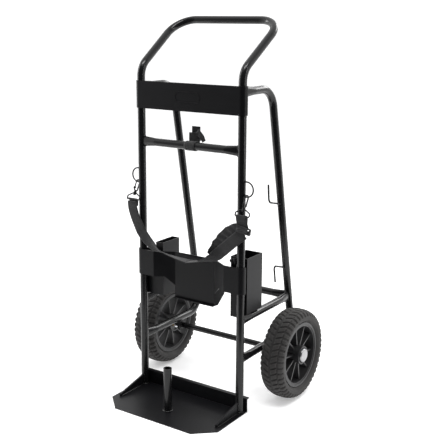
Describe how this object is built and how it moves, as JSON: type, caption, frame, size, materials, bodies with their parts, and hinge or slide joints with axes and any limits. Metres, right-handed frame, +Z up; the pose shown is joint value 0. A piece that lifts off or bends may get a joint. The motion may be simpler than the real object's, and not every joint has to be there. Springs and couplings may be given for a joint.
{
  "type": "two-wheeled tool cart",
  "caption": "Upright two-wheeled tool cart: bent tube frame with leaned-back handle, toe plate with central post, trough with tie strap, open bins, cord hooks and spoked wheels.",
  "frame": {"origin": "on the floor, under the middle of the whole cart", "axes": "+X to the cart's right seen from the front (toe plate) side, +Y from the toe plate to the wheels, +Z up"},
  "size_m": [0.622, 0.5727, 1.2447],
  "materials": {
    "powder_coat_tube": "semi-gloss black powder coat",
    "powder_coat_sheet": "satin black powder coat",
    "tyre_rubber": "matte",
    "rim_plastic": "satin",
    "zinc_steel": "bright zinc plate",
    "cap_metal": "polished",
    "black_wire": "black oxide wire",
    "webbing": "woven polyester",
    "black_plastic": "moulded",
    "bush_bronze": "sintered bronze"
  },
  "bodies": {
    "frame": {"axle": "zinc_steel", "axle_tube": "powder_coat_tube", "axle_washers": "zinc_steel", "buckle_frame": "black_wire", "buckle_pin": "zinc_steel", "cradle_plate": "powder_coat_sheet", "crossbar": "powder_coat_tube", "crossbar_strap": "webbing", "crossbar_strap_tail": "webbing", "left_anchor_loop": "black_wire", "left_axle_cap": "cap_metal", "left_axle_saddle": "powder_coat_sheet", "left_bin": "powder_coat_sheet", "left_rear_leg": "powder_coat_tube", "left_side_bar": "powder_coat_tube", "left_strap": "webbing", "left_toe_gusset": "powder_coat_sheet", "lower_cord_hook": "black_wire", "main_loop": "powder_coat_tube", "post": "powder_coat_tube", "rear_cross_bar": "powder_coat_tube", "right_anchor_loop": "black_wire", "right_axle_cap": "cap_metal", "right_axle_saddle": "powder_coat_sheet", "right_bin": "powder_coat_sheet", "right_rear_leg": "powder_coat_tube", "right_side_bar": "powder_coat_tube", "right_strap": "webbing", "right_toe_gusset": "powder_coat_sheet", "strap_tail": "webbing", "strap_tail_end": "webbing", "toe_plate": "powder_coat_sheet", "top_plate": "powder_coat_sheet", "upper_cord_hook": "black_wire"},
    "left_wheel": {"left_tyre": "tyre_rubber", "left_rim_ring": "rim_plastic", "left_spokes": "rim_plastic", "left_hub": "rim_plastic", "left_bushes": "bush_bronze"},
    "right_wheel": {"right_tyre": "tyre_rubber", "right_rim_ring": "rim_plastic", "right_spokes": "rim_plastic", "right_hub": "rim_plastic", "right_bushes": "bush_bronze"},
    "left_clip": {"left_swivel_loop": "black_wire"},
    "right_clip": {"right_swivel_loop": "black_wire", "strap_adjuster": "black_plastic", "right_clip_webbing": "webbing"},
    "left_hook": {"left_hook": "black_wire"},
    "right_hook": {"right_hook": "black_wire"},
    "left_gate": {"left_hook_gate": "black_wire"},
    "right_gate": {"right_hook_gate": "black_wire"},
    "buckle_lever": {"buckle_lever": "black_wire"}
  },
  "joints": [
    {"name": "left_wheel_spin", "type": "hinge", "parent": "frame", "child": "left_wheel", "pos_m": [-0.2625, 0.13635, 0.15], "axis": [1, 0, 0], "continuous": true},
    {"name": "right_wheel_spin", "type": "hinge", "parent": "frame", "child": "right_wheel", "pos_m": [0.2625, 0.13635, 0.15], "axis": [1, 0, 0], "continuous": true},
    {"name": "left_clip_swing", "type": "hinge", "parent": "frame", "child": "left_clip", "pos_m": [-0.212, -0.07635, 0.7097], "axis": [1, 0, 0], "range_deg": [-35, 5], "deforming": ["left_strap"]},
    {"name": "left_hook_swivel", "type": "hinge", "parent": "left_clip", "child": "left_hook", "pos_m": [-0.212, -0.09406, 0.67495], "axis": [0, 0.454, 0.891], "range_deg": [-12, 12]},
    {"name": "left_gate_hinge", "type": "hinge", "parent": "left_hook", "child": "left_gate", "pos_m": [-0.212, -0.09355, 0.69489], "axis": [1, 0, 0], "range_deg": [-28, 0], "stiffness_Nm_per_rad": 0.02, "springref_deg": 11.46},
    {"name": "right_clip_swing", "type": "hinge", "parent": "frame", "child": "right_clip", "pos_m": [0.212, -0.07635, 0.7097], "axis": [1, 0, 0], "range_deg": [-35, 5], "deforming": ["right_strap"]},
    {"name": "right_hook_swivel", "type": "hinge", "parent": "right_clip", "child": "right_hook", "pos_m": [0.212, -0.09406, 0.67495], "axis": [0, 0.454, 0.891], "range_deg": [-12, 12]},
    {"name": "right_gate_hinge", "type": "hinge", "parent": "right_hook", "child": "right_gate", "pos_m": [0.212, -0.09355, 0.69489], "axis": [1, 0, 0], "range_deg": [-28, 0], "stiffness_Nm_per_rad": 0.02, "springref_deg": 11.46},
    {"name": "buckle_lever_hinge", "type": "hinge", "parent": "frame", "child": "buckle_lever", "pos_m": [0.006, -0.05135, 0.873], "axis": [1, 0, 0], "range_deg": [-140, 0]}
  ]
}
